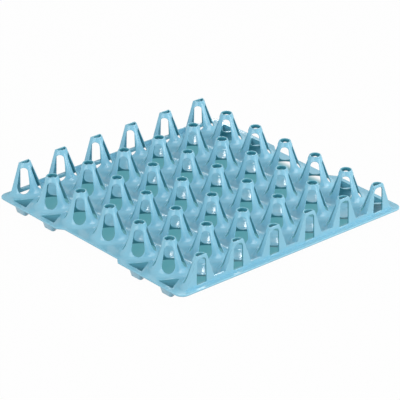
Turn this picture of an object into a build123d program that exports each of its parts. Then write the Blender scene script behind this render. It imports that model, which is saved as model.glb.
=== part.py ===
from build123d import *

import os
from math import sqrt

# Plastic egg tray for thirty eggs, moulded in one piece.
#
# Millimetres, +Z up. The origin is at the middle of the tray, on the surface that its feet
# stand on. X runs across the five pockets of a row, Y along the six rows. The sides with the
# feet and the grips face -X and +X; the two end walls face -Y and +Y.

# Layout of the pockets: a post stands at each corner of each pocket
pockets_x = 5
pockets_y = 6
pitch_x = 47.7
pitch_y = 46.8

# Plate and rim
plate_level = 12.0  # top of the plate above the ground
plate_thickness = 1.6
side_margin = 30.75  # from the outer row of posts to the side edge
end_flange = 5.5  # ledge outside each end wall
corner_radius = 9.0

# Posts: hollow cones of flat faces, open below, with a flared foot and a hole at the tip
post_sides = 12
post_height = 33.0  # above the plate
tip_radius = 6.25  # all post radii are to the middle of a flat
knee_radius = 17.6  # where the straight cone meets the flare
knee_height = 2.0
base_radius = 23.2  # where the flare meets the plate
post_wall = 1.6

# Windows in the posts, one towards each pocket
window_bottom_width = 13.0
window_bottom_height = 8.9  # centre of the round bottom, above the plate
window_bottom_sides = 4
window_top_width = 7.8
window_top_drop = 8.8  # centre of the round top, below the tip
window_top_height = post_height - window_top_drop  # above the plate
window_top_sides = 2

# End walls: they cut the end posts in half, and a low curb joins one half post to the next
end_wall_reach = 1.6  # outer face beyond the axes of the end posts
end_wall = 1.6
curb_height = 5.0
slot_bottom_width = 12.4
slot_top_width = 10.6
slot_sill = 2.0  # above the plate
slot_head = 3.0  # below the tip
slot_corner = 1.6

# Feet: hollow three-cornered pockets let into the side margins
foot_spots = (1.5, 2.5)  # from the middle of the tray, in pitches
foot_inset = 7.75  # from the row of posts to the inner corner of the recess
foot_length = 17.9
foot_width = 20.6
foot_wall = 1.5
foot_floor = 1.6
foot_draft = 4.0  # degrees

# Grip: the middle of each side is set back
grip_depth = 5.4
grip_half_length = 42.5
grip_run = 7.5  # length of the slanted ends

# Sizes that follow
row_x = pockets_x * pitch_x / 2
row_y = pockets_y * pitch_y / 2
edge_x = row_x + side_margin
edge_y = row_y + end_wall_reach + end_flange
posts_x = [i * pitch_x - row_x for i in range(pockets_x + 1)]
posts_y = [j * pitch_y - row_y for j in range(pockets_y + 1)]
tip_level = plate_level + post_height
clear = 2.0  # how far a cutter runs past what it cuts
slot_overrun = 0.5  # the slot's cutter stays clear of the curved half of the post
ample = 4 * base_radius  # wider than a post on every side


def outline(points):
    """Face in the XZ plane with straight sides through the given points."""
    return Plane.XZ * make_face(Polyline(*points, close=True))


def many_sided(profile):
    """Solid with regular polygons as its level sections; profile is (radius, height) pairs."""
    points = profile + [(-radius, height) for radius, height in reversed(profile)]
    slab = extrude(outline(points), 2 * base_radius, both=True)
    body = slab
    for turn in range(1, post_sides // 2):
        body &= Rot(0, 0, turn * 360 / post_sides) * slab
    return body


def post_outside():
    """Outer shape of a post, standing on the plate."""
    return many_sided(
        [
            (base_radius, plate_level),
            (knee_radius, plate_level + knee_height),
            (tip_radius, tip_level),
        ]
    )


def post_inside():
    """Hollow of a post: the outer shape moved in by one wall, open at both ends."""
    cone = (knee_radius - tip_radius) / (post_height - knee_height)
    flare = (base_radius - knee_radius) / knee_height
    cone_start = tip_radius + cone * post_height - post_wall * sqrt(1 + cone**2)
    flare_start = base_radius - post_wall * sqrt(1 + flare**2)
    knee = (flare_start - cone_start) / (flare - cone)
    low = -plate_thickness - clear
    return many_sided(
        [
            (flare_start - flare * low, plate_level + low),
            (cone_start - cone * knee, plate_level + knee),
            (cone_start - cone * post_height, tip_level),
            (cone_start - cone * post_height, tip_level + clear),
        ]
    )


def window_face():
    """Upright window with a rounded sill and head, in the XZ plane."""
    low = CenterArc((0, plate_level + window_bottom_height), window_bottom_width / 2, 180, 180)
    high = CenterArc((0, plate_level + window_top_height), window_top_width / 2, 0, 180)
    sill = [low @ (k / window_bottom_sides) for k in range(window_bottom_sides + 1)]
    head = [high @ (k / window_top_sides) for k in range(window_top_sides + 1)]
    return outline(sill + head)


def plate():
    """Flat plate with the two grips, before the posts go in."""
    notch = [
        (edge_x + clear, grip_half_length + grip_run * (1 + clear / grip_depth)),
        (edge_x - grip_depth, grip_half_length),
        (edge_x - grip_depth, -grip_half_length),
        (edge_x + clear, -grip_half_length - grip_run * (1 + clear / grip_depth)),
    ]
    grip = make_face(Polyline(*notch, close=True))
    shape = RectangleRounded(2 * edge_x, 2 * edge_y, corner_radius)
    shape -= [grip, Rot(0, 0, 180) * grip]
    return extrude(Pos(0, 0, plate_level) * shape, -plate_thickness)


def foot_outline():
    """Opening of a foot in the top of the plate, its inner corner towards the posts."""
    near = row_x + foot_inset
    far = near + foot_length
    corners = [(near, 0), (far, foot_width / 2), (far, -foot_width / 2)]
    return make_face(Polyline(*corners, close=True))


def foot_pair():
    """Outside and hollow of a foot on the +X side, level with Y = 0."""
    opening = foot_outline()
    around = offset(opening, foot_wall, kind=Kind.INTERSECTION)
    outside = extrude(Pos(0, 0, plate_level) * around, -plate_level, taper=foot_draft)
    hollow = extrude(Pos(0, 0, plate_level) * opening, -plate_level + foot_floor, taper=foot_draft)
    return outside, hollow


full_outside = post_outside()
full_inside = post_inside()
window = extrude(window_face(), 2 * base_radius, both=True)
crossed = [Rot(0, 0, 45) * window, Rot(0, 0, -45) * window]

# A post with all its windows
post = full_outside - full_inside - crossed

# An end row: half posts with a flat outer wall, joined by the curb
wall_face = end_wall_reach  # in Y, from the axes of the row
beyond = Pos(0, wall_face, 0) * Box(
    ample, ample, 2 * ample, align=(Align.CENTER, Align.MIN, Align.CENTER)
)
half_outside = full_outside - beyond
half_inside = full_inside - Pos(0, -end_wall, 0) * beyond
one_way = Pos(0, -window_bottom_width / 2, 0) * extrude(window_face(), 2 * base_radius)
inward = [Rot(0, 0, 45) * one_way, Rot(0, 0, -45) * one_way]
sill = plate_level + slot_sill
head = tip_level - slot_head
slot_sketch = outline(
    [
        (-slot_bottom_width / 2, sill),
        (slot_bottom_width / 2, sill),
        (slot_top_width / 2, head - slot_corner),
        (slot_top_width / 2 - slot_corner, head),
        (-slot_top_width / 2 + slot_corner, head),
        (-slot_top_width / 2, head - slot_corner),
    ]
)
slot = Pos(0, wall_face, 0) * extrude(slot_sketch, end_wall + slot_overrun, both=True)
curb = Pos(0, wall_face, plate_level) * Box(
    2 * row_x, end_wall, curb_height, align=(Align.CENTER, Align.MAX, Align.MIN)
)
end_row = curb + [Pos(x, 0, 0) * half_outside for x in posts_x]
for cutter in [half_inside, slot] + inward:
    end_row -= [Pos(x, 0, 0) * cutter for x in posts_x]

# The whole tray
inner_spots = [Pos(x, y, 0) for x in posts_x for y in posts_y[1:-1]]
far_end = Pos(0, row_y, 0)
ends = [far_end, Rot(0, 0, 180) * far_end]
tray = plate()
tray -= [spot * full_inside for spot in inner_spots]
tray -= [end * Pos(x, 0, 0) * half_inside for end in ends for x in posts_x]
foot, foot_hollow = foot_pair()
foot_places = [
    Rot(0, 0, turn) * Pos(0, side * spot * pitch_y, 0)
    for turn in (0, 180)
    for side in (-1, 1)
    for spot in foot_spots
]
tray += [place * foot for place in foot_places]
tray -= [place * foot_hollow for place in foot_places]
tray += [spot * post for spot in inner_spots] + [end * end_row for end in ends]

os.makedirs("parts", exist_ok=True)
tray.label = "egg_tray"
export_step(tray, "parts/egg_tray.step")

print("solids", len(tray.solids()), "faces", len(tray.faces()), "volume", round(tray.volume))
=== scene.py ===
# %% [markdown]
# A plastic egg tray for thirty eggs
#
# The real tray is one shot of pale blue plastic: a flat plate, rows of hollow cones that stand between the
# eggs, two end walls and eight small feet. Every wall is about a millimetre and a half thick, and most
# walls have a hole in them. One thin sheet with a Solidify modifier would be the quick way, but its edges
# would be square cuts, and on the real tray the light catches the rounded lips. So the mesh is made the way
# a sheet metal worker would think of it: an upper skin, a lower skin one wall below it, and narrow strips
# that join the two round each hole. Numbers are in millimetres, and the last step brings the mesh to
# metres.

# %% The frame
from math import asin, atan, cos, degrees, pi, radians, sin, sqrt, tan

import bmesh
import bpy
from mathutils import Matrix, Vector
from mathutils.geometry import delaunay_2d_cdt


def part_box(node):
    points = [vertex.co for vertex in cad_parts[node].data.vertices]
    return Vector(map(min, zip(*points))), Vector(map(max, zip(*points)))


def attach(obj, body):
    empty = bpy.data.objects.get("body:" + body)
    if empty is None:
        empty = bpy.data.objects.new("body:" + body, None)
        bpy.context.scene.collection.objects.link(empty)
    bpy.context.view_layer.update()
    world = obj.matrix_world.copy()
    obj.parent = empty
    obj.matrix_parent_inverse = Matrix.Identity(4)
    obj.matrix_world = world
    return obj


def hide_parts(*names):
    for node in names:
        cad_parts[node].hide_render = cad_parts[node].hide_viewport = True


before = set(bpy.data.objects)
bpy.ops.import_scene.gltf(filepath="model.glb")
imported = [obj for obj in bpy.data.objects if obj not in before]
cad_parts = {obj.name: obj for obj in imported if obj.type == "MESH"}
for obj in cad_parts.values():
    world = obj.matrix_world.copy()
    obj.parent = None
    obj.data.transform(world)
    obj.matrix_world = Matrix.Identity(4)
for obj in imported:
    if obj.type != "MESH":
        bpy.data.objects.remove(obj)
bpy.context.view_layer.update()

low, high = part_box("egg_tray")
print("CAD box in mm:", [round(1000 * (b - a), 2) for a, b in zip(low, high)])

# %% [markdown]
# The sizes
#
# A mould maker starts from the pitch of the pockets, because the egg sets it. The overall length, width and
# height are read from the frame, and the rest of the sizes are written here once. Heights are above the
# plate, because posts, walls and feet all start from it.

# %% Sizes of the plate and the posts
POCKETS_X = 5
POCKETS_Y = 6
PITCH_X = 47.7
PITCH_Y = 46.8
ROW_X = POCKETS_X * PITCH_X / 2
ROW_Y = POCKETS_Y * PITCH_Y / 2
EDGE_X = 1000 * high.x
EDGE_Y = 1000 * high.y
PLATE = 12.0  # top of the plate above the ground
POST = 1000 * high.z - PLATE
WALL = 1.6
ROUND = 0.35  # of the lips round windows, slots and edges
FLAT = 0.4  # narrow flat strip beside a lip, which keeps its shading crisp
CORNER_R = 9.0
GRIP_DEPTH = 5.4
GRIP_HALF = 42.5
GRIP_RUN = 7.5
GRIP_ROUND = 3.0
RIM = 2.0
RIM_WIDTH = 1.1
DISH_R = 9.6
DISH_DEPTH = 0.78

TIP_R = 6.25
TIP_ROUND = 0.7
TIP_STEPS = 4
SLOPE = 0.3625  # how much the radius of a post grows for each millimetre down
FILLET_R = 7.2
SILL_Z = 8.9  # middle of the round sill of a window
SILL_R = 6.6
HEAD_Z = 24.0  # middle of its round head
HEAD_R = 4.4

posts_x = [i * PITCH_X - ROW_X for i in range(POCKETS_X + 1)]
print("plate", round(2 * EDGE_X, 2), "by", round(2 * EDGE_Y, 2), "posts", round(POST, 2), "high")

# %% Sizes of the end walls and the feet
WALL_REACH = 1.6
CURB = 5.0
SLOT_SILL = 2.0
SLOT_HEAD = 29.6
SLOT_LOW = 6.2  # half its width at the sill
SLOT_HIGH = 5.3  # half its width at the head
SLOT_ROUND = 1.8
SLOT_HEAD_ROUND = 0.75 * SLOT_HIGH

FOOT_SPOTS = (1.5 * PITCH_Y, 2.5 * PITCH_Y)
FOOT_INSET = 7.5
FOOT_LENGTH = 17.9
FOOT_WIDTH = 20.9
FOOT_ROUND = 0.5  # corners of the recess in the plate
FOOT_SOLE_ROUND = 3.2  # corners of the sole
FOOT_LIP = 0.2
FOOT_WALL = 1.5
FOOT_FLOOR = 1.6
FOOT_LEAN = 0.16  # sideways for each millimetre of height
FOOT_SUNK = 0.3  # how far the top of a foot goes into the plate
FOOT_PROUD = 0.05  # how far its inner wall stands out from the recess, so that no faces coincide
FOOT_FLOOR_EASE = 0.6  # bevel round the floor inside
FOOT_SOLE_EASE = 0.5  # bevel round the sole
print("feet at", [round(s * spot, 1) for s in (-1, 1) for spot in FOOT_SPOTS])

# %% [markdown]
# The profile of a post
#
# A post is a straight cone that runs into the plate through a fillet, so the plastic flows round the corner
# and the wall doesn't tear when the mould opens. A drawn profile with a Screw modifier would give a plain
# cone, but the windows have to know its radius at every height, so the profile is a formula. One function
# gives the radius and height of a skin that lies some depth below the outer one. A place on the profile is
# told by how far one has gone down the outer skin, so the same number means facing points on both skins.
# The way down to a height has no simple formula, because it crosses from the cone to the fillet, so it is
# found by halving.

# %% Profile of a skin
COS_A = 1 / sqrt(1 + SLOPE**2)
SIN_A = SLOPE * COS_A
FILLET_C = TIP_R + (POST - FILLET_R) * SLOPE + FILLET_R / COS_A
STRAIGHT = (POST - FILLET_R + FILLET_R * SIN_A) / COS_A
DOWN = STRAIGHT + FILLET_R * (pi / 2 - atan(SLOPE))
HOLE_R = TIP_R - WALL / COS_A
HALVINGS = 40


def skin(depth, t):
    """(radius, height) of the skin at that depth, after going t down the outer one."""
    arc = FILLET_R + depth
    foot_r = FILLET_C - arc * COS_A
    foot_h = FILLET_R - arc * SIN_A
    top_r = TIP_R - depth / COS_A
    if t <= STRAIGHT:
        part = t / STRAIGHT
        return top_r + (foot_r - top_r) * part, POST + (foot_h - POST) * part
    turn = pi + atan(SLOPE) + (t - STRAIGHT) / FILLET_R
    return FILLET_C + arc * cos(turn), FILLET_R + arc * sin(turn)


def down_to(depth, height):
    """How far down the skin at that depth reaches that height."""
    a, b = 0.0, DOWN
    for _ in range(HALVINGS):
        middle = (a + b) / 2
        if skin(depth, middle)[1] > height:
            a = middle
        else:
            b = middle
    return (a + b) / 2


print("a fillet ends on the plate at radius", round(FILLET_C, 2), "and the tip hole is", round(HOLE_R, 2))

# %% [markdown]
# A small mesh book
#
# Each part of the tray is a list of points and a list of faces. One could build them straight in a bmesh,
# but plain lists can be copied, turned and moved before Blender makes anything of them. Two rows of points
# with the same count are joined by a band of four-cornered faces, which is all that most of the tray needs.
# Points that fall on each other are merged later, so parts can be made one by one and still end without a
# gap.

# %% Mesh book
TOUCHING = 1e-5  # distance within which points of a sheet count as one
SAME_POINT = 0.004  # distance within which points of one part are merged


def swept(ring):
    """Area of a flat loop, positive if it runs anticlockwise."""
    around = list(ring[1:]) + [ring[0]]
    return sum(a[0] * b[1] - b[0] * a[1] for a, b in zip(ring, around)) / 2


class Book:
    """Points and faces of one part, in millimetres, with heights above the plate."""

    def __init__(self):
        self.points = []
        self.faces = []

    def add(self, points, faces):
        start = len(self.points)
        self.points += [tuple(p) for p in points]
        self.faces += [tuple(start + k for k in face) for face in faces]

    def band(self, first, second, closed=True):
        """Faces between two rows of points."""
        count = len(first)
        last = count if closed else count - 1
        steps = [(k, (k + 1) % count) for k in range(last)]
        faces = [(a, b, count + b, count + a) for a, b in steps]
        self.add(list(first) + list(second), faces)

    def bands(self, rows, closed=True):
        for first, second in zip(rows[:-1], rows[1:]):
            self.band(first, second, closed)

    def sheet(self, loop, holes, place):
        """Flat triangles inside a loop and outside its holes; place puts (u, v) in space."""
        flat = []
        rings = []
        for ring in [loop] + list(holes):
            order = list(range(len(flat), len(flat) + len(ring)))
            rings.append(order if swept(ring) > 0 else order[::-1])
            flat += [Vector(p[:2]) for p in ring]
        out = delaunay_2d_cdt(flat, [], rings, 1, TOUCHING)
        kept = [face for face, owners in zip(out[2], out[5]) if list(owners) == [0]]
        self.add([place(p[0], p[1]) for p in out[0]], kept)

    def copy_of(self, other, move):
        self.add([move(p) for p in other.points], other.faces)


def made(book, name):
    """Object of a book, its facing points merged."""
    mesh = bpy.data.meshes.new(name)
    mesh.from_pydata(book.points, [], book.faces)
    work = bmesh.new()
    work.from_mesh(mesh)
    bmesh.ops.remove_doubles(work, verts=work.verts, dist=SAME_POINT)
    work.to_mesh(mesh)
    work.free()
    obj = bpy.data.objects.new(name, mesh)
    bpy.context.scene.collection.objects.link(obj)
    return obj


square = [(0.0, 0.0), (1.0, 0.0), (1.0, 1.0), (0.0, 1.0)]
print("area of a unit square, as a test:", swept(square))

# %% [markdown]
# The window of a post
#
# Each post has a window towards each pocket, so the eggs get air and the stack drains. It is wide and round
# at the sill, narrow and round at the head, with straight sides that touch both arcs. A Boolean modifier
# could cut it out, but it leaves long thin faces, which show as streaks on a glossy wall. So the wall is
# built round the window: its points are counted so that they can be joined one to one with the edge of a
# quarter of the cone. An edge that is grown a little, moved outwards all round, gives the rounded lip.

# %% Window edge
ACROSS = 8  # steps over the head and under the sill
SIDE = (3, 5, 4)  # steps down a side: rest of the head, straight part, rest of the sill
LEAN = asin((SILL_R - HEAD_R) / (HEAD_Z - SILL_Z))


def arc(middle, radius, start, end, steps):
    """Points on an arc in the upright plane, without the last one."""
    turns = [radians(start) + radians(end - start) * k / steps for k in range(steps)]
    return [(radius * cos(t), middle + radius * sin(t)) for t in turns]


def window_edge(grow=0.0):
    """(sideways, height) round a window, from the top right corner over the head."""
    lean = degrees(LEAN)
    head = HEAD_R + grow
    sill = SILL_R + grow
    left_top = arc(HEAD_Z, head, 135, 180 - lean, SIDE[0])
    start = (head * cos(pi - LEAN), HEAD_Z + head * sin(pi - LEAN))
    end = (sill * cos(pi - LEAN), SILL_Z + sill * sin(pi - LEAN))
    parts = [k / SIDE[1] for k in range(SIDE[1])]
    line = [(start[0] + (end[0] - start[0]) * p, start[1] + (end[1] - start[1]) * p) for p in parts]
    left_low = arc(SILL_Z, sill, 180 - lean, 225, SIDE[2])
    left = left_top + line + left_low
    corner = (sill * cos(radians(225)), SILL_Z + sill * sin(radians(225)))
    right = [(-x, h) for x, h in reversed(left[1:] + [corner])]
    over = arc(HEAD_Z, head, 45, 135, ACROSS)
    under = arc(SILL_Z, sill, 225, 315, ACROSS)
    return over + left + under + right


edge_count = len(window_edge())
print("points round a window:", edge_count)

# %% [markdown]
# A quarter of a post
#
# The cone is cut into quarters, each with one window in its middle. Between the window and the edges of
# the quarter lie rings that change from the one outline to the other, so there are no long thin faces. The
# rings are laid out by angle and by the way down the profile, and only then put on the cone, which keeps
# them exactly on it.

# %% Quarter of a post
QUARTER_FOOT = 1.0  # height at which the rings of a quarter end and the plain flare begins
TOP_ROW = down_to(0.0, POST - TIP_ROUND)
CURB_ROW = down_to(0.0, CURB)
LOW_ROW = down_to(0.0, QUARTER_FOOT)
TO_THE_CURB = 7  # steps down a side of a quarter; with the next line as many as SIDE has in all
PAST_THE_CURB = 5
FLARE_STEPS = 3
RINGS = (0.0, 0.06, 0.32, 0.66, 1.0)  # shares of the way from the window to the border


def steps_down(first, last, count):
    """Ways down from the first to the last, in that many equal steps."""
    return [first + (last - first) * k / count for k in range(count + 1)]


side_rows = steps_down(TOP_ROW, CURB_ROW, TO_THE_CURB)
side_rows += steps_down(CURB_ROW, LOW_ROW, PAST_THE_CURB)[1:]
flare_rows = steps_down(LOW_ROW, DOWN, FLARE_STEPS)


def at(depth, angle, t, middle):
    """Point of a skin, at an angle in degrees from the middle of its quarter and a way down."""
    radius, height = skin(depth, t)
    turn = radians(angle + middle)
    return (radius * cos(turn), radius * sin(turn), height)


def on_skin(depth, edge):
    """Angle and way down of each point of a window edge that is pushed straight through a skin."""
    spots = []
    for side, height in edge:
        t = down_to(depth, height)
        spots.append((degrees(asin(side / skin(depth, t)[0])), t))
    return spots


def quarter_edge():
    """Angle and way down round a quarter, point for point with a window edge."""
    over = [(45 - 90 * k / ACROSS, side_rows[0]) for k in range(ACROSS)]
    left = [(-45, t) for t in side_rows[:-1]]
    under = [(-45 + 90 * k / ACROSS, side_rows[-1]) for k in range(ACROSS)]
    right = [(45, t) for t in reversed(side_rows[1:])]
    return over + left + under + right


def quarter(book, middle):
    """Both skins of a quarter and the lip of its window."""
    border = quarter_edge()
    for depth in (0.0, WALL):
        # seen from outside, both outlines start at the top right and go over the top to the left
        start = on_skin(depth, window_edge(ROUND))
        rows = []
        for part in RINGS:
            mix = [
                (a + (b[0] - a) * part, t + (b[1] - t) * part) for (a, t), b in zip(start, border)
            ]
            rows.append([at(depth, a, t, middle) for a, t in mix])
        book.bands(rows)
        flare = [
            [at(depth, -45 + 90 * k / ACROSS, t, middle) for k in range(ACROSS + 1)]
            for t in flare_rows
        ]
        book.bands(flare, closed=False)
    lip = []
    for depth, grow in ((0.0, ROUND), (ROUND, 0.0), (WALL - ROUND, 0.0), (WALL, ROUND)):
        spots = on_skin(depth, window_edge(grow))
        lip.append([at(depth, a, t, middle) for a, t in spots])
    book.bands(lip)


print("rows down a quarter:", len(side_rows) + len(flare_rows) - 1)

# %% [markdown]
# A whole post
#
# Four quarters and a ring at the tip make a post. The ring is rounded over on both sides, and so it catches
# a thin line of light from every direction, as the moulded lip does. A Bevel modifier could round it too,
# but it would add points where the ring has to meet the quarters one to one.

# %% Whole post
AROUND = 4 * ACROSS


def circle(radius, height):
    """Level ring of points, with one on each seam between two quarters."""
    turns = [radians(360 * k / AROUND) for k in range(AROUND)]
    return [(radius * cos(t), radius * sin(t), height) for t in turns]


post_book = Book()
for middle in (45, 135, 225, 315):
    quarter(post_book, middle)
tip_out = skin(0.0, TOP_ROW)
tip_in = skin(WALL, TOP_ROW)


def tip_profile():
    """(radius, height, whether inside) of each ring over the lip of a tip, from the outside in."""
    turns = [k * pi / 2 / TIP_STEPS for k in range(TIP_STEPS + 1)]
    sides = []
    for (radius, height), sign, inside in ((tip_out, -1, False), (tip_in, 1, True)):
        rise = POST - height
        sides.append(
            [(radius + sign * TIP_ROUND * (1 - cos(t)), height + rise * sin(t), inside) for t in turns]
        )
    return sides[0] + sides[1][::-1]


post_book.bands([circle(radius, height) for radius, height, _ in tip_profile()])
print("faces of a post:", len(post_book.faces))

# %% [markdown]
# An end row
#
# Along each end the posts are cut in half by a flat wall with a slot in it, and a low curb joins one half
# post to the next. The half posts use the same quarters. The flat faces are cut from a loop with holes, the
# way one would cut them from card. That fills them with uneven triangles, which does no harm where a face
# is flat, and is much simpler than ordered rows of faces.

# %% End row, loops with round corners
CORNER_STEPS = 6
SHARPEST = 0.3  # keeps a very sharp corner from running away when its loop is moved


def slot_edge(grow=0.0):
    """(sideways, height) round the slot in an end wall."""
    corners = [
        (-SLOT_LOW, SLOT_SILL, SLOT_ROUND),
        (SLOT_LOW, SLOT_SILL, SLOT_ROUND),
        (SLOT_HIGH, SLOT_HEAD, SLOT_HEAD_ROUND),
        (-SLOT_HIGH, SLOT_HEAD, SLOT_HEAD_ROUND),
    ]
    return inset(rounded(corners, CORNER_STEPS), -grow)


def rounded(corners, steps):
    """Closed loop, anticlockwise, through corners given as (u, v, radius)."""
    loop = []
    count = len(corners)
    for k, (u, v, radius) in enumerate(corners):
        here = Vector((u, v))
        back = (Vector(corners[k - 1][:2]) - here).normalized()
        on = (Vector(corners[(k + 1) % count][:2]) - here).normalized()
        half = back.angle(on) / 2
        reach = radius / tan(half)
        middle = here + (back + on).normalized() * radius / sin(half)
        start = here + back * reach - middle
        turn = start.angle_signed(here + on * reach - middle)
        for s in range(steps + 1):
            spin = Matrix.Rotation(-turn * s / steps, 2)
            loop.append(tuple(middle + spin @ start))
    return loop


def inset(loop, amount):
    """The same loop moved inwards (it runs anticlockwise), corner by corner."""
    out = []
    count = len(loop)
    for k in range(count):
        here = Vector(loop[k])
        before = (here - Vector(loop[k - 1])).normalized()
        after = (Vector(loop[(k + 1) % count]) - here).normalized()
        left = Vector((-before.y, before.x)) + Vector((-after.y, after.x))
        left.normalize()
        stretch = max(left.dot(Vector((-before.y, before.x))), SHARPEST)
        out.append(tuple(here + left * amount / stretch))
    return out


print("points round a slot:", len(slot_edge()))

# %% End row, one half post
NEAR = 0.01  # heights closer than this count as the same
TO_THE_PLATE = side_rows + flare_rows[1:]


def half_post(book, x, curb_left, curb_right):
    """Half post at x with the inner face of its flat wall; the outer face is one sheet for the row."""
    part = Book()
    quarter(part, -45)
    quarter(part, -135)
    half = [-180 + 180 * k / (2 * ACROSS) for k in range(2 * ACROSS + 1)]

    def tip_ring(radius, height, inside):
        """Half circle over the lip of the tip, closed by a straight line along the flat wall."""
        line = WALL_REACH - (tip_out[0] - radius)
        if inside:
            line = radius - tip_in[0]
        ring = [(radius * cos(radians(a)), radius * sin(radians(a)), height) for a in half]
        return ring + [(radius, line, height), (-radius, line, height)]

    part.bands([tip_ring(*place) for place in tip_profile()])
    for sign, has_curb in ((-1, curb_left), (1, curb_right)):
        flank = [skin(0.0, t) for t in TO_THE_PLATE]
        if has_curb:
            flank = [p for p in flank if p[1] > CURB - NEAR]
        near = [(sign * r, 0.0, h) for r, h in flank]
        far = [(sign * r, WALL_REACH, h) for r, h in flank]
        part.band(near, far, closed=False)
    inside = [skin(WALL, t) for t in TO_THE_PLATE]
    loop = [(-r, h) for r, h in inside] + [(r, h) for r, h in reversed(inside)]
    part.sheet(loop, [slot_edge(ROUND + FLAT)], lambda u, v: (u, 0.0, v))
    levels = (
        (0.0, ROUND + FLAT),
        (0.0, ROUND),
        (ROUND, 0.0),
        (WALL_REACH - ROUND, 0.0),
        (WALL_REACH, ROUND),
        (WALL_REACH, ROUND + FLAT),
    )
    part.bands([[(u, y, v) for u, v in slot_edge(grow)] for y, grow in levels])
    book.copy_of(part, lambda p: (p[0] + x, p[1], p[2]))


row_book = Book()
for i, x in enumerate(posts_x):
    half_post(row_book, x, i > 0, i < POCKETS_X)
print("faces of six half posts:", len(row_book.faces))

# %% End row, curbs and the outer face
curb_rows = [t for t in TO_THE_PLATE if skin(0.0, t)[1] < CURB + NEAR]
for a, b in zip(posts_x[:-1], posts_x[1:]):
    flare = [skin(0.0, t) for t in curb_rows]
    row_book.band(
        [(a + r, 0.0, h) for r, h in flare], [(b - r, 0.0, h) for r, h in flare], closed=False
    )
    reach = skin(0.0, CURB_ROW)[0]
    top = [(a + reach, 0.0, CURB), (b - reach, 0.0, CURB)]
    row_book.band(top, [(u, WALL_REACH, h) for u, _, h in top], closed=False)

flank = [skin(0.0, t) for t in TO_THE_PLATE]
above = [p for p in flank if p[1] > CURB - NEAR]
face_loop = []
for i, x in enumerate(posts_x):
    up = list(reversed(flank if i == 0 else above))
    over = flank if i == POCKETS_X else above
    face_loop += [(x - r, h) for r, h in up] + [(x + r, h) for r, h in over]
slots = [[(u + x, v) for u, v in slot_edge(ROUND + FLAT)] for x in posts_x]
row_book.sheet(face_loop, slots, lambda u, v: (u, WALL_REACH, v))
print("faces of an end row:", len(row_book.faces))

# %% [markdown]
# The plate
#
# The plate is a sheet with round corners and a grip in each long side. A plain box with the posts stuck
# through it would be simpler, but the fillets would end in a seam. So its upper and lower skins have a hole
# wherever a post or a foot goes through. The edge is a little thicker than the rest, because a rim stiffens
# a thin plate. The floor of each pocket is a shallow dish, so that an egg centres itself. A dish is also a
# weak concave mirror: through each window one sees a tall lamp in it, drawn together to a bright bar, which
# a flat floor would show in one pocket only.
#
# Each foot is a hollow cup of its own. It starts a little inside the plate and leans inwards on its way
# down, as all walls of a moulded part do, so that they come out of the mould.

# %% Outline of the plate
def plate_outline():
    """Outline of the plate, anticlockwise."""
    ends = GRIP_HALF + GRIP_RUN
    right = [
        (EDGE_X, -EDGE_Y, CORNER_R),
        (EDGE_X, -ends, GRIP_ROUND),
        (EDGE_X - GRIP_DEPTH, -GRIP_HALF, GRIP_ROUND),
        (EDGE_X - GRIP_DEPTH, GRIP_HALF, GRIP_ROUND),
        (EDGE_X, ends, GRIP_ROUND),
        (EDGE_X, EDGE_Y, CORNER_R),
    ]
    left = [(-u, -v, radius) for u, v, radius in right]
    return rounded(right + left, CORNER_STEPS)


outline = plate_outline()
print("points round the plate:", len(outline))

# %% Feet
FOOT_STEPS = 5
GROUND = -PLATE
FOOT_TOP = FOOT_SUNK - WALL
FLOOR_LEVEL = GROUND + FOOT_FLOOR


def foot_edge(out, centre, side, radius=FOOT_ROUND):
    """Loop of a foot, moved out by that much; side is 1 on the +X side and -1 on the other."""
    near = ROW_X + FOOT_INSET
    far = near + FOOT_LENGTH
    corners = [
        (near, 0.0, radius),
        (far, -FOOT_WIDTH / 2, radius),
        (far, FOOT_WIDTH / 2, radius),
    ]
    loop = inset(rounded(corners, FOOT_STEPS), -out)
    return [(side * u, side * v + centre) for u, v in loop]


def raised(loop, height):
    return [(u, v, height) for u, v in loop]


def leaning(height):
    """How far out the wall of a foot is at a height: less than 0, so inwards, below the plate."""
    return FOOT_LEAN * height


floor_edge = FLOOR_LEVEL + FOOT_FLOOR_EASE
sole_edge = GROUND + FOOT_SOLE_EASE
inner_round = FOOT_SOLE_ROUND - FOOT_WALL
CUP = [
    (leaning(FLOOR_LEVEL) - FOOT_FLOOR_EASE, FLOOR_LEVEL, inner_round),
    (leaning(floor_edge), floor_edge, inner_round),
    (-FOOT_PROUD, FOOT_TOP, FOOT_ROUND),
    (FOOT_WALL, FOOT_TOP, FOOT_ROUND + FOOT_WALL),
    (FOOT_WALL + leaning(sole_edge), sole_edge, FOOT_SOLE_ROUND),
    (FOOT_WALL + leaning(GROUND) - FOOT_SOLE_EASE, GROUND, FOOT_SOLE_ROUND),
]
OPENING = [(FOOT_LIP + FLAT, 0.0), (FOOT_LIP, 0.0), (0.0, -FOOT_LIP), (0.0, -WALL)]

foot_places = [(s * spot, side) for side in (-1, 1) for s in (-1, 1) for spot in FOOT_SPOTS]
plate_book = Book()
foot_book = Book()
for centre, side in foot_places:
    plate_book.bands([raised(foot_edge(out, centre, side), h) for out, h in OPENING])
    cup = [raised(foot_edge(out, centre, side, radius), h) for out, h, radius in CUP]
    foot_book.bands(cup)
    for ring in (cup[0], cup[-1]):
        foot_book.add(ring, [tuple(range(len(ring)))])
print("feet:", len(foot_places))

# %% Dishes
DISH_STEPS = 24
DISH_RINGS = (1.0, 0.97, 0.82, 0.62, 0.4, 0.2)  # shares of its radius
DISH_RIM = 1.03  # a little over 1, so that the rim of a dish is a soft step and shows
pockets = [
    ((i + 0.5) * PITCH_X - ROW_X, (j + 0.5) * PITCH_Y - ROW_Y)
    for i in range(POCKETS_X)
    for j in range(POCKETS_Y)
]


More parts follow.
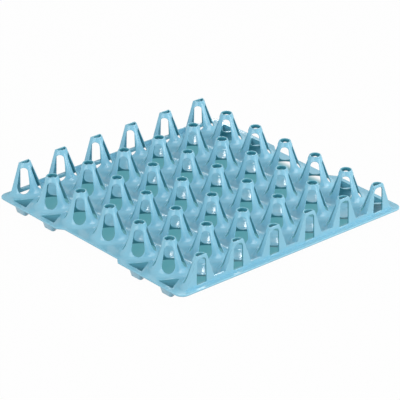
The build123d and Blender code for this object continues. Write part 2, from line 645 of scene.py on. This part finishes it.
def dish_ring(x, y, part, top):
    """Ring of a dish at a part of its radius."""
    depth = DISH_DEPTH * min(1.0, DISH_RIM - part**2) if part < 1 else 0.0
    turns = [2 * pi * k / DISH_STEPS for k in range(DISH_STEPS)]
    return [
        (x + DISH_R * part * cos(t), y + DISH_R * part * sin(t), top - depth) for t in turns
    ]


for top in (0.0, -WALL):
    for x, y in pockets:
        rings = [dish_ring(x, y, part, top) for part in DISH_RINGS]
        plate_book.bands(rings)
        plate_book.add(rings[-1], [tuple(range(DISH_STEPS))])

print("pockets:", len(pockets), "with dishes of", DISH_STEPS, "steps")

# %% Skins of the plate and its edge
half_turns = [-pi + pi * k / (2 * ACROSS) for k in range(2 * ACROSS + 1)]
inner_posts = [(x, j * PITCH_Y - ROW_Y) for x in posts_x for j in range(1, POCKETS_Y)]
round_holes = [[(x + p[0], y + p[1]) for p in circle(FILLET_C, 0.0)] for x, y in inner_posts]
dish_holes = [[p[:2] for p in dish_ring(x, y, 1.0, 0.0)] for x, y in pockets]


def far_and_near(loop):
    """A loop of the far end row, and the same turned half round for the near one."""
    return [[(u, v + ROW_Y) for u, v in loop], [(-u, -v - ROW_Y) for u, v in loop]]


row_foot = []
for x in posts_x:
    row_foot += [(x + FILLET_C * cos(t), FILLET_C * sin(t)) for t in half_turns]
row_foot += [(ROW_X + FILLET_C, WALL_REACH), (-ROW_X - FILLET_C, WALL_REACH)]
upper_holes = round_holes + dish_holes + far_and_near(row_foot)
upper_holes += [foot_edge(FOOT_LIP + FLAT, centre, side) for centre, side in foot_places]
plate_book.sheet(inset(outline, ROUND + FLAT), upper_holes, lambda u, v: (u, v, 0.0))

lower_holes = round_holes + dish_holes
for x in posts_x:
    lower_holes += far_and_near([(x + FILLET_C * cos(t), FILLET_C * sin(t)) for t in half_turns])
lower_holes += [foot_edge(0.0, centre, side) for centre, side in foot_places]
rim_inside = RIM_WIDTH + RIM - WALL
plate_book.sheet(inset(outline, rim_inside + FLAT), lower_holes, lambda u, v: (u, v, -WALL))
plate_book.bands(
    [
        raised(inset(outline, ROUND + FLAT), 0.0),
        raised(inset(outline, ROUND), 0.0),
        raised(outline, -ROUND),
        raised(outline, ROUND - RIM),
        raised(inset(outline, ROUND), -RIM),
        raised(inset(outline, RIM_WIDTH), -RIM),
        raised(inset(outline, rim_inside), -WALL),
        raised(inset(outline, rim_inside + FLAT), -WALL),
    ]
)
print("faces of the plate:", len(plate_book.faces))

# %% [markdown]
# The plastic
#
# The tray is glossy polyethylene in a pale blue. Base Color, Roughness and a small Bump change over the
# surface: the colour drifts a little where the melt cooled at different speeds, and handling leaves a soft
# haze of fine marks. The marks come from a shader group with named inputs, because the floor uses a coarser
# and weaker version of the same thing.
#
# The insides of the posts and of the feet were moulded on plain steel cores and not against the polished
# cavity, so they are duller. Their colour is also darkened to a deeper blue, which is painted shade: it
# darkens the tip holes, the hollows seen through the windows and the recesses of the feet, where little
# light falls. A second material on the inner faces would change at a hard line. So the mesh carries a float
# attribute instead, which is 0 outside, 1 inside and in between on the lips, and the material reads it for
# both.

# %% Shader group for faint marks
def marks_group():
    tree = bpy.data.node_groups.new("faint_marks", "ShaderNodeTree")
    for name, value in (("Scale", 60.0), ("Stretch", 1.0), ("Low", 0.4), ("High", 0.7)):
        socket = tree.interface.new_socket(name, in_out="INPUT", socket_type="NodeSocketFloat")
        socket.default_value = value
    tree.interface.new_socket("Marks", in_out="OUTPUT", socket_type="NodeSocketFloat")
    nodes, links = tree.nodes, tree.links
    start = nodes.new("NodeGroupInput")
    end = nodes.new("NodeGroupOutput")
    place = nodes.new("ShaderNodeTexCoord")
    shape = nodes.new("ShaderNodeCombineXYZ")
    shape.inputs["Y"].default_value = 1.0
    shape.inputs["Z"].default_value = 1.0
    stretch = nodes.new("ShaderNodeVectorMath")
    stretch.operation = "MULTIPLY"
    noise = nodes.new("ShaderNodeTexNoise")
    noise.inputs["Detail"].default_value = 4.0
    noise.inputs["Roughness"].default_value = 0.6
    limits = nodes.new("ShaderNodeMapRange")
    links.new(start.outputs["Stretch"], shape.inputs["X"])
    links.new(place.outputs["Object"], stretch.inputs[0])
    links.new(shape.outputs["Vector"], stretch.inputs[1])
    links.new(stretch.outputs["Vector"], noise.inputs["Vector"])
    links.new(start.outputs["Scale"], noise.inputs["Scale"])
    links.new(noise.outputs["Fac"], limits.inputs["Value"])
    links.new(start.outputs["Low"], limits.inputs["From Min"])
    links.new(start.outputs["High"], limits.inputs["From Max"])
    links.new(limits.outputs["Result"], end.inputs["Marks"])
    return tree


faint_marks = marks_group()
print("group inputs:", [item.name for item in faint_marks.interface.items_tree])

# %% Tray plastic
PALE_BLUE = (0.256, 0.558, 0.706)
PALE_BLUE_DEEPER = (0.226, 0.526, 0.674)
# painted shade colour for the insides of the posts and the feet, where little light falls
INSIDE_SHADE_BLUE = (0.068, 0.31, 0.39)
CORE_DULLNESS = 0.25
PLASTIC_IOR = 1.5


def marks_node(nodes, scale, stretch, lowest, highest):
    node = nodes.new("ShaderNodeGroup")
    node.node_tree = faint_marks
    values = {"Scale": scale, "Stretch": stretch, "Low": lowest, "High": highest}
    for name, value in values.items():
        node.inputs[name].default_value = value
    return node


def ramp(nodes, links, source, dark, light):
    """Colour between dark and light by a mask."""
    mix = nodes.new("ShaderNodeMix")
    mix.data_type = "RGBA"
    mix.inputs["A"].default_value = (*dark, 1.0)
    mix.inputs["B"].default_value = (*light, 1.0)
    links.new(source, mix.inputs["Factor"])
    return mix.outputs["Result"]


def tray_plastic():
    material = bpy.data.materials.new("tray_plastic")
    material.use_nodes = True
    nodes, links = material.node_tree.nodes, material.node_tree.links
    shader = nodes["Principled BSDF"]
    drift = marks_node(nodes, scale=9.0, stretch=1.0, lowest=0.35, highest=0.65)
    colour = ramp(nodes, links, drift.outputs["Marks"], PALE_BLUE_DEEPER, PALE_BLUE)
    # the attribute darkens the insides with painted shade and, further down, makes them duller
    inside_mask = nodes.new("ShaderNodeAttribute")
    inside_mask.attribute_name = "inside_dull_and_shade"
    shaded_inside = nodes.new("ShaderNodeMix")
    shaded_inside.data_type = "RGBA"
    shaded_inside.inputs["B"].default_value = (*INSIDE_SHADE_BLUE, 1.0)
    links.new(inside_mask.outputs["Fac"], shaded_inside.inputs["Factor"])
    links.new(colour, shaded_inside.inputs["A"])
    links.new(shaded_inside.outputs["Result"], shader.inputs["Base Color"])
    haze = marks_node(nodes, scale=140.0, stretch=0.35, lowest=0.40, highest=0.75)
    rough = nodes.new("ShaderNodeMapRange")
    rough.inputs["To Min"].default_value = 0.10
    rough.inputs["To Max"].default_value = 0.14
    links.new(haze.outputs["Marks"], rough.inputs["Value"])
    duller = nodes.new("ShaderNodeMath")
    duller.operation = "MULTIPLY_ADD"
    duller.inputs[1].default_value = CORE_DULLNESS
    links.new(inside_mask.outputs["Fac"], duller.inputs[0])
    links.new(rough.outputs["Result"], duller.inputs[2])
    links.new(duller.outputs["Value"], shader.inputs["Roughness"])
    skin_marks = marks_node(nodes, scale=420.0, stretch=1.0, lowest=0.30, highest=0.70)
    bump = nodes.new("ShaderNodeBump")
    bump.inputs["Strength"].default_value = 0.12
    bump.inputs["Distance"].default_value = 0.00008
    links.new(skin_marks.outputs["Marks"], bump.inputs["Height"])
    links.new(bump.outputs["Normal"], shader.inputs["Normal"])
    shader.inputs["IOR"].default_value = PLASTIC_IOR
    return material


plastic = tray_plastic()
print("nodes of the plastic:", len(plastic.node_tree.nodes))

# %% [markdown]
# Repeating the posts with Geometry Nodes
#
# Thirty posts stand on a grid, so the grid is a rule and not thirty copies by hand. Two Array modifiers
# would make the same grid, but to turn a copy half round, as the end rows need, an Array needs a second
# object to guide it. The tree makes a grid of points, puts the mesh of its own object on each, makes the
# copies real and gives them the plastic. The two end rows use a second tree, a line of two points, of which
# the second is turned.

# %% Trees for the grid of posts and for the two end rows
def float_input(tree, name, value, kind="NodeSocketFloat"):
    socket = tree.interface.new_socket(name, in_out="INPUT", socket_type=kind)
    socket.default_value = value
    return socket


def closing(tree, instances):
    """Realize Instances and Set Material, as every tree here ends."""
    real = tree.nodes.new("GeometryNodeRealizeInstances")
    paint = tree.nodes.new("GeometryNodeSetMaterial")
    paint.inputs["Material"].default_value = plastic
    end = tree.nodes.new("NodeGroupOutput")
    tree.links.new(instances, real.inputs["Geometry"])
    tree.links.new(real.outputs["Geometry"], paint.inputs["Geometry"])
    tree.links.new(paint.outputs["Geometry"], end.inputs["Geometry"])


def grid_tree():
    tree = bpy.data.node_groups.new("post_grid", "GeometryNodeTree")
    tree.interface.new_socket("Geometry", in_out="INPUT", socket_type="NodeSocketGeometry")
    tree.interface.new_socket("Geometry", in_out="OUTPUT", socket_type="NodeSocketGeometry")
    for name in ("Count X", "Count Y"):
        float_input(tree, name, 2, "NodeSocketInt")
    for name in ("Size X", "Size Y"):
        float_input(tree, name, 1.0)
    start = tree.nodes.new("NodeGroupInput")
    grid = tree.nodes.new("GeometryNodeMeshGrid")
    tree.links.new(start.outputs["Count X"], grid.inputs["Vertices X"])
    tree.links.new(start.outputs["Count Y"], grid.inputs["Vertices Y"])
    tree.links.new(start.outputs["Size X"], grid.inputs["Size X"])
    tree.links.new(start.outputs["Size Y"], grid.inputs["Size Y"])
    place = tree.nodes.new("GeometryNodeInstanceOnPoints")
    tree.links.new(grid.outputs["Mesh"], place.inputs["Points"])
    tree.links.new(start.outputs["Geometry"], place.inputs["Instance"])
    closing(tree, place.outputs["Instances"])
    return tree


def ends_tree():
    tree = bpy.data.node_groups.new("end_pair", "GeometryNodeTree")
    tree.interface.new_socket("Geometry", in_out="INPUT", socket_type="NodeSocketGeometry")
    tree.interface.new_socket("Geometry", in_out="OUTPUT", socket_type="NodeSocketGeometry")
    float_input(tree, "Half Distance", 1.0)
    start = tree.nodes.new("NodeGroupInput")
    index = tree.nodes.new("GeometryNodeInputIndex")
    turn = tree.nodes.new("ShaderNodeMath")
    turn.operation = "MULTIPLY"
    turn.inputs[1].default_value = pi
    spin = tree.nodes.new("ShaderNodeCombineXYZ")
    line = tree.nodes.new("GeometryNodeMeshLine")
    line.inputs["Count"].default_value = 2
    far = tree.nodes.new("ShaderNodeCombineXYZ")
    back = tree.nodes.new("ShaderNodeCombineXYZ")
    double = tree.nodes.new("ShaderNodeMath")
    double.operation = "MULTIPLY"
    double.inputs[1].default_value = -2.0
    place = tree.nodes.new("GeometryNodeInstanceOnPoints")
    links = tree.links
    links.new(start.outputs["Half Distance"], far.inputs["Y"])
    links.new(start.outputs["Half Distance"], double.inputs[0])
    links.new(double.outputs["Value"], back.inputs["Y"])
    links.new(far.outputs["Vector"], line.inputs["Start Location"])
    links.new(back.outputs["Vector"], line.inputs["Offset"])
    links.new(index.outputs["Index"], turn.inputs[0])
    links.new(turn.outputs["Value"], spin.inputs["Z"])
    links.new(line.outputs["Mesh"], place.inputs["Points"])
    links.new(start.outputs["Geometry"], place.inputs["Instance"])
    links.new(spin.outputs["Vector"], place.inputs["Rotation"])
    closing(tree, place.outputs["Instances"])
    return tree


post_grid = grid_tree()
end_pair = ends_tree()
print("nodes of the trees:", {tree.name: len(tree.nodes) for tree in (post_grid, end_pair)})

# %% Posts and end rows in place
def repeated(book, name, tree, values):
    """Plain mesh of a book's part after its tree; the inputs are set by identifier."""
    obj = made(book, name)
    modifier = obj.modifiers.new(name, "NODES")
    modifier.node_group = tree
    named = {s.name: s.identifier for s in tree.interface.items_tree if s.in_out == "INPUT"}
    for key, value in values.items():
        modifier[named[key]] = value
    obj.update_tag()
    graph = bpy.context.evaluated_depsgraph_get()
    mesh = bpy.data.meshes.new_from_object(obj.evaluated_get(graph))
    obj.modifiers.remove(modifier)
    bpy.data.objects.remove(obj)
    print(name, "faces:", len(mesh.polygons))
    return mesh


grid_values = {
    "Count X": POCKETS_X + 1,
    "Count Y": POCKETS_Y - 1,
    "Size X": 2 * ROW_X,
    "Size Y": 2 * (ROW_Y - PITCH_Y),
}
post_mesh = repeated(post_book, "posts", post_grid, grid_values)
row_mesh = repeated(row_book, "end_rows", end_pair, {"Half Distance": ROW_Y})

# %% [markdown]
# One closed mesh
#
# The tray was moulded in one piece, so its mesh is one object and closed everywhere. Boolean unions could
# join its parts, but the posts and the end rows already meet the plate point for point, so it is enough to
# merge the points that meet. The feet stay closed cups that reach a little into the plate. Then the faces
# are turned outwards, and the whole is brought to metres. Two faces that meet at a steep angle keep a crisp
# edge between them, and the rest is shaded smooth.
#
# Which points get the painted shade and the duller finish of the insides is told by their normals: on the
# inside of a hollow cone or cup they face its middle, and the floor inside a foot counts as well. The share
# fades over the lips by itself, because their normals turn from one side to the other.

# %% Which points get the painted shade of the insides
FOOT_MIDDLE = ROW_X + FOOT_INSET + FOOT_LENGTH * 2 / 3
FOOT_REACH = FOOT_WIDTH / 2 + 1.0  # a little past its recess
FLOOR_NEAR = 0.7  # a point this near the level of a foot's floor can be on it
FACES_UP = 0.5  # and is, if this much of its normal points up
FADE = 1.5  # how quickly the share grows as a normal turns inwards


def nearest(value, pitch, row, count):
    """Place of the nearest post along one axis."""
    return min(max(round((value + row) / pitch), 0), count) * pitch - row


def from_nearest_foot(point):
    """Sideways vector from the middle of the nearest foot."""
    spot = min(FOOT_SPOTS, key=lambda s: abs(abs(point.y) - s))
    side_x = 1 if point.x > 0 else -1
    side_y = 1 if point.y > 0 else -1
    return point.xy - Vector((side_x * FOOT_MIDDLE, side_y * spot))


def inside_dull_and_shade(point, normal):
    """Share of painted shade and dullness: how much a point faces the middle of its post or foot, 0
    outside, 1 inside.
    """
    post_x = nearest(point.x, PITCH_X, ROW_X, POCKETS_X)
    post_y = nearest(point.y, PITCH_Y, ROW_Y, POCKETS_Y)
    out = point.xy - Vector((post_x, post_y))
    if out.length > FILLET_C:
        out = from_nearest_foot(point)
        if abs(out.x) > FOOT_LENGTH or abs(out.y) > FOOT_REACH:
            return 0.0
        if abs(point.z - FLOOR_LEVEL) < FLOOR_NEAR and normal.z > FACES_UP:
            return 1.0
    return min(max(-FADE * out.normalized().dot(normal.xy), 0.0), 1.0)


print("middle of a foot at x", round(FOOT_MIDDLE, 2))

# %% Joining the tray
MEETING = 0.01  # distance within which points of two parts are merged
CRISP_FROM = radians(50)  # angle between two faces
plate_object = made(plate_book, "plate")
feet_object = made(foot_book, "feet")
work = bmesh.new()
for mesh in (plate_object.data, feet_object.data, post_mesh, row_mesh):
    work.from_mesh(mesh)
bpy.data.objects.remove(plate_object)
bpy.data.objects.remove(feet_object)
bmesh.ops.remove_doubles(work, verts=work.verts, dist=MEETING)
loose = [e for e in work.edges if not e.is_manifold]
print("edges that aren't closed:", len(loose))
bmesh.ops.recalc_face_normals(work, faces=work.faces)
work.normal_update()
inside = [inside_dull_and_shade(v.co, v.normal) for v in work.verts]
lift = Matrix.Translation((0.0, 0.0, PLATE / 1000)) @ Matrix.Scale(0.001, 4)
bmesh.ops.transform(work, matrix=lift, verts=work.verts)
tray_mesh = bpy.data.meshes.new("tray")
work.to_mesh(tray_mesh)
print("volume in cubic centimetres:", round(work.calc_volume() * 1e6, 1))
work.free()

# %% The finished tray
# the share is kept on the points, and the material paints shade on the insides with it
tray_mesh.attributes.new("inside_dull_and_shade", "FLOAT", "POINT").data.foreach_set("value", inside)
print("points on the core side:", sum(v > 0.5 for v in inside), "of", len(inside))
tray_mesh.materials.clear()
tray_mesh.materials.append(plastic)
tray_mesh.polygons.foreach_set("material_index", [0] * len(tray_mesh.polygons))
tray_mesh.shade_smooth()
tray_mesh.set_sharp_from_angle(angle=CRISP_FROM)
tray = bpy.data.objects.new("tray", tray_mesh)
bpy.context.scene.collection.objects.link(tray)
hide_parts("egg_tray")
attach(tray, "root")
triangles = sum(len(p.vertices) - 2 for p in tray_mesh.polygons)
print("triangles of the tray:", triangles)

# %% [markdown]
# Floor and light
#
# The tray stands on a white sweep in a studio. The floor and the world are white to the camera and to
# reflections, through Light Path, so that the lamps can stay at a plain level and the blue stays blue.
# Beside the tray the floor is white, and a soft mask marks the part under it. There the floor has a painted
# teal glow, an emission that stands in for the light that thin plastic lets through and tints; one sees it
# through the windows, and some of it lights the underside.
#
# The light comes from broad lamps on the left and on the right of the camera, and from a tall, narrow one
# far behind the tray, which makes the bright bars in the dishes. A panorama of a studio could light it all
# at once, but lamps can be moved one by one until each light lies where it should.

# %% Floor
SHADE_SHIFT = 0.009  # the mask's middle lies this far behind the tray's, in metres
SHADE_SOFT = 0.012  # width of the mask's edge
WHITE_SHARE = 0.98  # how much of the floor beside the tray is plain white to the camera
# painted teal glow under the tray: its share of the floor there, how much of it lights the underside, and
# its colour
UNDER_TRAY_GLOW_SHARE = 0.55  # how much of the floor under the tray is the tint
GLOW_ON_UNDERSIDE_SHARE = 0.6  # how much of that lights the underside
UNDER_TRAY_GLOW = (0.14, 0.52, 0.60)
PAPER_DARK = (0.44, 0.44, 0.44)
PAPER_LIGHT = (0.46, 0.46, 0.46)
HALF_FLOOR = 6.0


def beside_the_tray(nodes, links):
    """0 on the floor under the tray and 1 beside it, with a soft edge."""
    place = nodes.new("ShaderNodeTexCoord")
    centred = nodes.new("ShaderNodeVectorMath")
    centred.operation = "SUBTRACT"
    centred.inputs[1].default_value = (SHADE_SHIFT, SHADE_SHIFT, 0.0)
    links.new(place.outputs["Object"], centred.inputs[0])
    size = nodes.new("ShaderNodeVectorMath")
    size.operation = "ABSOLUTE"
    links.new(centred.outputs["Vector"], size.inputs[0])
    past = nodes.new("ShaderNodeVectorMath")
    past.operation = "SUBTRACT"
    inside = SHADE_SHIFT + SHADE_SOFT
    past.inputs[1].default_value = (high.x - inside, high.y - inside, 0.0)
    links.new(size.outputs["Vector"], past.inputs[0])
    apart = nodes.new("ShaderNodeSeparateXYZ")
    links.new(past.outputs["Vector"], apart.inputs["Vector"])
    further = nodes.new("ShaderNodeMath")
    further.operation = "MAXIMUM"
    links.new(apart.outputs["X"], further.inputs[0])
    links.new(apart.outputs["Y"], further.inputs[1])
    share = nodes.new("ShaderNodeMapRange")
    share.interpolation_type = "SMOOTHSTEP"
    share.inputs["From Max"].default_value = SHADE_SOFT
    links.new(further.outputs["Value"], share.inputs["Value"])
    return share.outputs["Result"]


def seen_directly(nodes, links):
    """1 for the camera and for reflections, and 0 for the light that surfaces give each other."""
    path = nodes.new("ShaderNodeLightPath")
    seen = nodes.new("ShaderNodeMath")
    seen.operation = "MAXIMUM"
    links.new(path.outputs["Is Camera Ray"], seen.inputs[0])
    links.new(path.outputs["Is Glossy Ray"], seen.inputs[1])
    return seen.outputs["Value"]


def spread(nodes, links, source, at_zero, at_one):
    """Value that goes from one number to another with a mask."""
    node = nodes.new("ShaderNodeMapRange")
    node.inputs["To Min"].default_value = at_zero
    node.inputs["To Max"].default_value = at_one
    links.new(source, node.inputs["Value"])
    return node.outputs["Result"]


print("the floor is white up to", 2000 * SHADE_SHIFT, "mm inside the near sides of the tray")

# %% Floor material
def floor_white_and_glow():
    material = bpy.data.materials.new("floor_white_and_glow")
    material.use_nodes = True
    nodes, links = material.node_tree.nodes, material.node_tree.links
    out = nodes["Material Output"]
    shader = nodes["Principled BSDF"]
    shader.inputs["Roughness"].default_value = 0.9
    beside = beside_the_tray(nodes, links)
    cloudy = marks_node(nodes, scale=1.5, stretch=1.0, lowest=0.3, highest=0.7)
    paper = ramp(nodes, links, cloudy.outputs["Marks"], PAPER_DARK, PAPER_LIGHT)
    links.new(paper, shader.inputs["Base Color"])
    lit = nodes.new("ShaderNodeMath")
    lit.operation = "MAXIMUM"
    links.new(seen_directly(nodes, links), lit.inputs[0])
    links.new(spread(nodes, links, beside, GLOW_ON_UNDERSIDE_SHARE, 0.0), lit.inputs[1])
    share = nodes.new("ShaderNodeMath")
    share.operation = "MULTIPLY"
    links.new(lit.outputs["Value"], share.inputs[0])
    links.new(spread(nodes, links, beside, UNDER_TRAY_GLOW_SHARE, WHITE_SHARE), share.inputs[1])
    # painted glow: teal under the tray, plain white beside it
    glow = nodes.new("ShaderNodeEmission")
    glow.inputs["Strength"].default_value = 1.0
    links.new(ramp(nodes, links, beside, UNDER_TRAY_GLOW, (1.0, 1.0, 1.0)), glow.inputs["Color"])
    mix = nodes.new("ShaderNodeMixShader")
    links.new(share.outputs["Value"], mix.inputs["Fac"])
    links.new(shader.outputs["BSDF"], mix.inputs[1])
    links.new(glow.outputs["Emission"], mix.inputs[2])
    links.new(mix.outputs["Shader"], out.inputs["Surface"])
    return material


floor_mesh = bpy.data.meshes.new("floor")
floor_corners = [(u * HALF_FLOOR, v * HALF_FLOOR, 0.0) for u, v in ((-1, -1), (1, -1), (1, 1), (-1, 1))]
floor_mesh.from_pydata(floor_corners, [], [(0, 1, 2, 3)])
floor_mesh.materials.append(floor_white_and_glow())
floor = bpy.data.objects.new("floor", floor_mesh)
bpy.context.scene.collection.objects.link(floor)
print("floor:", 2 * HALF_FLOOR, "m square")

# %% World
SKY_STRENGTH = 0.49
world = bpy.data.worlds.new("studio")
bpy.context.scene.world = world
world.use_nodes = True
sky_nodes, sky_links = world.node_tree.nodes, world.node_tree.links
sky = sky_nodes["Background"]
sky.inputs["Color"].default_value = (1.0, 1.0, 1.0, 1.0)
sky.inputs["Strength"].default_value = SKY_STRENGTH
seen_sky = sky_nodes.new("ShaderNodeBackground")
seen_sky.inputs["Strength"].default_value = 1.0
sky_mix = sky_nodes.new("ShaderNodeMixShader")
sky_links.new(seen_directly(sky_nodes, sky_links), sky_mix.inputs["Fac"])
sky_links.new(sky.outputs["Background"], sky_mix.inputs[1])
sky_links.new(seen_sky.outputs["Background"], sky_mix.inputs[2])
sky_links.new(sky_mix.outputs["Shader"], sky_nodes["World Output"].inputs["Surface"])
print("the sky lights the tray at", SKY_STRENGTH)

# %% Lamps
LAMP_AIM = Vector((0, 0, 0.03))


def lamp(name, azimuth, elevation, distance, size, power):
    """Area lamp that faces the tray: angles in degrees, azimuth 0 on +Y and 90 on +X, power in watts."""
    data = bpy.data.lights.new(name, "AREA")
    data.shape = "RECTANGLE"
    data.size, data.size_y = size
    data.energy = power
    obj = bpy.data.objects.new(name, data)
    a, e = radians(azimuth), radians(elevation)
    place = Vector((sin(a) * cos(e), cos(a) * cos(e), sin(e))) * distance
    obj.location = place + LAMP_AIM
    obj.rotation_euler = (-place).to_track_quat("-Z", "Y").to_euler()
    bpy.context.scene.collection.objects.link(obj)


lamp("left_lamp", -100.0, 27.0, 2.4, (2.2, 1.8), 32.0)
lamp("right_lamp", 140.0, 27.0, 2.4, (2.2, 1.8), 44.0)
lamp("back_strip", 41.2, 29.0, 6.0, (0.11, 3.0), 10.5)

# %% [markdown]
# The camera
#
# The photograph was taken with a long lens from the front corner. A camera can be placed by eye, but among
# so many equal posts it is hard to see when it is some pixels out. So a fit of the tips of the posts gave
# the angle, the distance and the lens. The camera looks past the middle of the tips by two small offsets,
# so its shift can stay at nothing.

# %% Camera
AZIMUTH = radians(40.67)
ELEVATION = radians(26.23)
ROLL = radians(-0.11)
DISTANCE = 2747.0  # from the tips, in millimetres
FOCAL = 2664.9 / 400  # in widths of the picture
SENSOR = 36.0  # width of the picture inside the camera
OFF_X = -0.546
OFF_Y = 28.4
TIPS = 45.0  # height of the tips
ahead = Vector(
    (sin(AZIMUTH) * cos(ELEVATION), cos(AZIMUTH) * cos(ELEVATION), -sin(ELEVATION))
)
across = Vector((cos(AZIMUTH), -sin(AZIMUTH), 0.0))
upward = across.cross(ahead)
eye = Vector((0, 0, TIPS)) - DISTANCE * ahead - OFF_X * across - OFF_Y * upward
camera_data = bpy.data.cameras.new("camera")
camera_data.sensor_width = SENSOR
camera_data.lens = SENSOR * FOCAL
camera_data.clip_end = 100.0
camera = bpy.data.objects.new("camera", camera_data)
turned = Matrix((across, upward, -ahead)).transposed().to_4x4()
camera.matrix_world = Matrix.Translation(eye / 1000) @ turned @ Matrix.Rotation(ROLL, 4, "Z")
bpy.context.scene.collection.objects.link(camera)
bpy.context.scene.camera = camera
bpy.context.scene.view_settings.view_transform = "Standard"
print("camera at", [round(v, 3) for v in eye / 1000])
